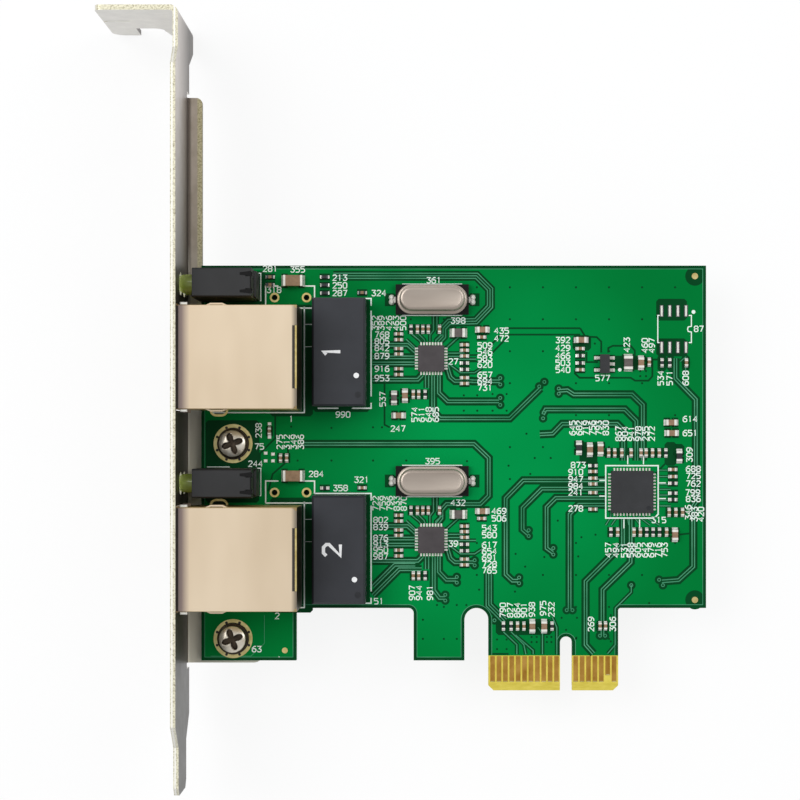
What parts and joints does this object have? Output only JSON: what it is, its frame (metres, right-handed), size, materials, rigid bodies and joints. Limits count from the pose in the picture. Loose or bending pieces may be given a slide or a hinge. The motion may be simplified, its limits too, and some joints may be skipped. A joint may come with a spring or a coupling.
{
  "type": "network interface card",
  "caption": "Network interface card: board with card-edge contacts, folded mounting bracket, shielded modular jacks, status lights and magnetics modules.",
  "frame": {"origin": "centre line of the key notch, on the lower edge of the card-edge tongue, in the middle of the board's thickness", "axes": "the card lies flat: +X along the board away from the bracket, +Y from the card edge towards the board's upper edge, +Z out of the component side"},
  "size_m": [0.094, 0.12, 0.024],
  "materials": {
    "solder_mask": "semi-gloss green solder mask on glass-fibre laminate",
    "gold_plate": "thin gold plating on copper",
    "bracket_steel": "nickel-plated folded steel sheet",
    "screw_steel": "nickel-plated, satin",
    "shield_steel": "nickel-plated sheet with a warm tone",
    "black_plastic": "moulded, matte",
    "led_lens": "clear tinted resin",
    "moulded_case": "moulded resin, fine matte",
    "can_steel": "drawn and plated metal can, satin",
    "capacitor_ceramic": "tan ceramic",
    "resistor_black": "black glaze",
    "inductor_ferrite": "dark grey ferrite",
    "tin": "tinned, satin"
  },
  "bodies": {
    "root": {"bracket": "bracket_steel", "bracket_screws": "screw_steel", "bridge_chip": "moulded_case", "circuit_board": "solder_mask", "crystal_1_base": "black_plastic", "crystal_1_can": "can_steel", "crystal_1_leads": "tin", "crystal_2_base": "black_plastic", "crystal_2_can": "can_steel", "crystal_2_leads": "tin", "edge_contacts_back": "gold_plate", "edge_contacts_front": "gold_plate", "ferrite_bead": "resistor_black", "ferrite_bead_ends": "tin", "fiducials": "tin", "footprint_lands": "tin", "inductor_ends": "tin", "inductors": "inductor_ferrite", "jack_1_contacts": "gold_plate", "jack_1_housing": "black_plastic", "jack_1_insert": "black_plastic", "jack_1_shield": "shield_steel", "jack_2_contacts": "gold_plate", "jack_2_housing": "black_plastic", "jack_2_insert": "black_plastic", "jack_2_shield": "shield_steel", "lan_chip_1": "moulded_case", "lan_chip_2": "moulded_case", "led_1_housing": "black_plastic", "led_1_leads": "tin", "led_1_lower": "led_lens", "led_1_upper": "led_lens", "led_2_housing": "black_plastic", "led_2_leads": "tin", "led_2_lower": "led_lens", "led_2_upper": "led_lens", "medium_capacitor_ends": "tin", "medium_capacitors": "capacitor_ceramic", "medium_resistor_ends": "tin", "medium_resistors": "resistor_black", "port_capacitor_ends": "tin", "port_capacitors": "capacitor_ceramic", "regulator": "moulded_case", "regulator_leads": "tin", "screw_pads": "gold_plate", "small_capacitors": "capacitor_ceramic", "small_resistors": "resistor_black", "transformer_1_case": "moulded_case", "transformer_1_leads": "tin", "transformer_2_case": "moulded_case", "transformer_2_leads": "tin"}
  },
  "joints": []
}
